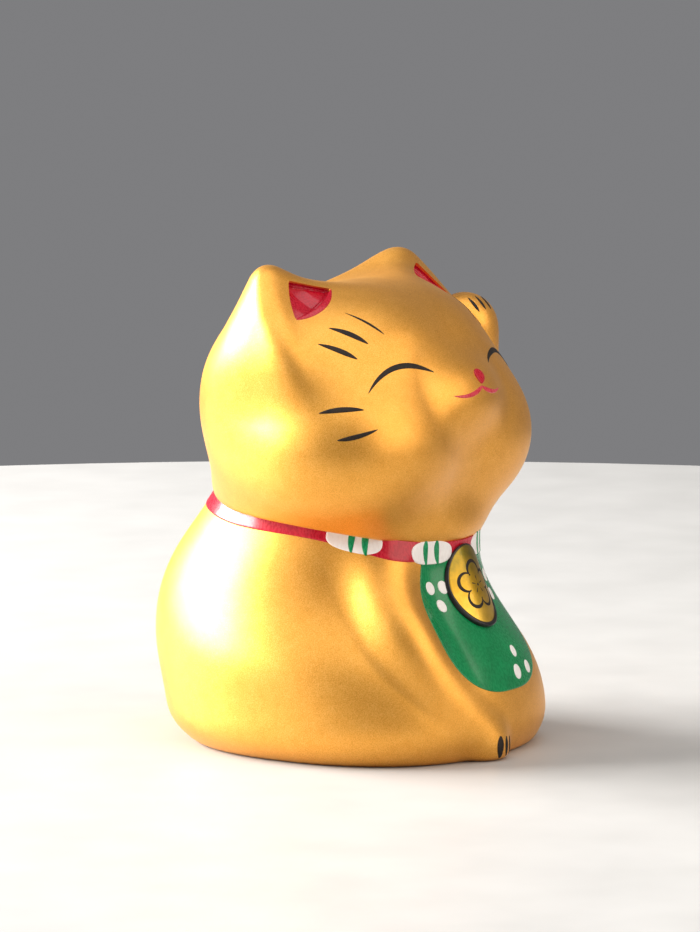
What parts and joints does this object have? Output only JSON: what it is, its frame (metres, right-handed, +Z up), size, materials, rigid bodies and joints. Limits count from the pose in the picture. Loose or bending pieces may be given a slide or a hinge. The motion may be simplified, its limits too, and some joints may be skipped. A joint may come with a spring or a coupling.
{
  "type": "beckoning cat figurine",
  "caption": "Seated hollow ceramic cat figurine with one raised paw, satin gold finish, painted collar, bib and coin; stands on a flat foot.",
  "frame": {"origin": "on the surface that the figurine stands on, at the axis of its trunk (the base mount)", "axes": "+Z up; the cat faces -Y; its left side, with the raised arm, is +X"},
  "size_m": [0.0635, 0.0672, 0.0796],
  "materials": {
    "gold_body": "satin metallic gold lacquer over slip-cast ceramic",
    "antique_gold": "yellow-green antique gold lacquer",
    "red_enamel": "glossy brushed enamel",
    "lip_enamel": "glossy brushed enamel",
    "green_enamel": "glossy brushed enamel",
    "white_enamel": "glossy brushed enamel",
    "black_enamel": "satin brushed enamel"
  },
  "bodies": {
    "root": {"trunk_shell": "gold_body", "head_shell": "gold_body", "raised_arm": "gold_body", "collar_band": "red_enamel", "bib": "green_enamel", "coin": "antique_gold", "coin_rim": "black_enamel", "coin_emblem": "black_enamel", "nose": "red_enamel", "mouth": "lip_enamel", "foreleg_claws": "black_enamel", "raised_paw_claws": "black_enamel", "collar_oval_outer_right": "white_enamel", "oval_stripes_outer_right": "green_enamel", "collar_oval_inner_right": "white_enamel", "oval_stripes_inner_right": "green_enamel", "collar_oval_inner_left": "white_enamel", "oval_stripes_inner_left": "green_enamel", "collar_oval_outer_left": "white_enamel", "oval_stripes_outer_left": "green_enamel", "bib_dots_left": "white_enamel", "bib_dots_right": "white_enamel", "bib_dots_lower": "white_enamel", "ear_lining_left": "red_enamel", "eye_left": "black_enamel", "temple_strokes_left": "black_enamel", "whiskers_left": "black_enamel", "ear_lining_right": "red_enamel", "eye_right": "black_enamel", "temple_strokes_right": "black_enamel", "whiskers_right": "black_enamel"}
  },
  "joints": []
}
